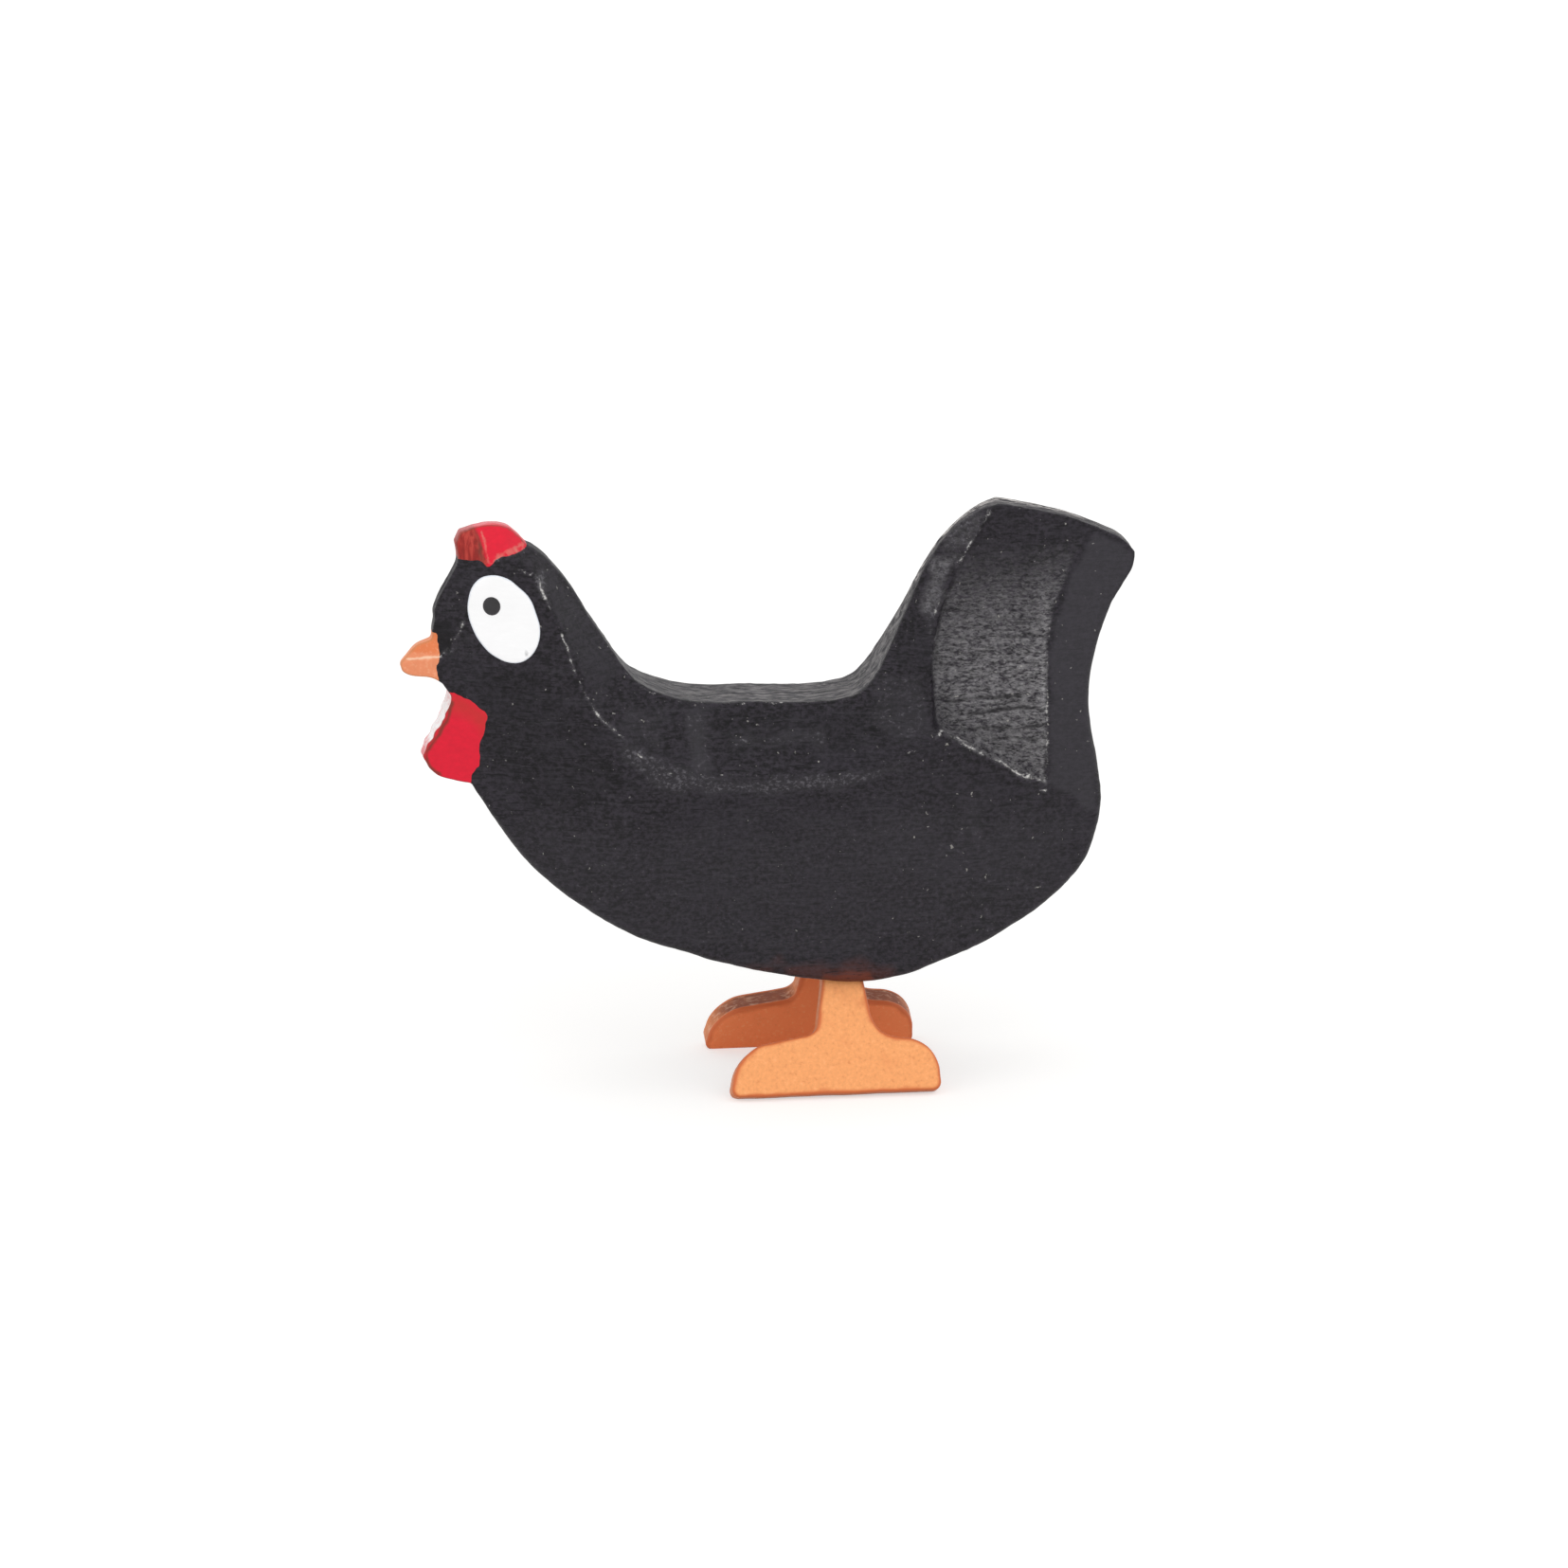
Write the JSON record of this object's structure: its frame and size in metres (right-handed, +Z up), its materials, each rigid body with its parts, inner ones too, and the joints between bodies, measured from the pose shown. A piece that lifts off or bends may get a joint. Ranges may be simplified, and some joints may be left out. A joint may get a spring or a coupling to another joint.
{
  "type": "rooster figure",
  "caption": "Small sawn and knife-carved painted wooden hen with red comb and wattle, standing on splayed flat feet that are glued into its belly.",
  "frame": {"origin": "on the surface that the hen stands on, below the middle of its length and thickness", "axes": "+X from the beak towards the tail, +Y from the near side with the left foot in the picture towards the far side, +Z up"},
  "size_m": [0.0418, 0.0128, 0.0331],
  "materials": {
    "body_black": "satin black paint on carved wood, worn along the edges",
    "comb_red": "satin red paint on carved wood",
    "wattle_red": "satin red paint on carved wood",
    "beak_orange": "matt orange paint on carved wood",
    "eye_white": "glossy white paint",
    "pupil_black": "glossy black paint",
    "feet_orange": "matt orange paint on sawn wood"
  },
  "bodies": {
    "root": {"body": "body_black", "comb": "comb_red", "wattle": "wattle_red", "beak": "beak_orange", "eye_left": "eye_white", "eye_right": "eye_white", "pupil_left": "pupil_black", "pupil_right": "pupil_black", "foot_left": "feet_orange", "foot_right": "feet_orange"}
  },
  "joints": []
}
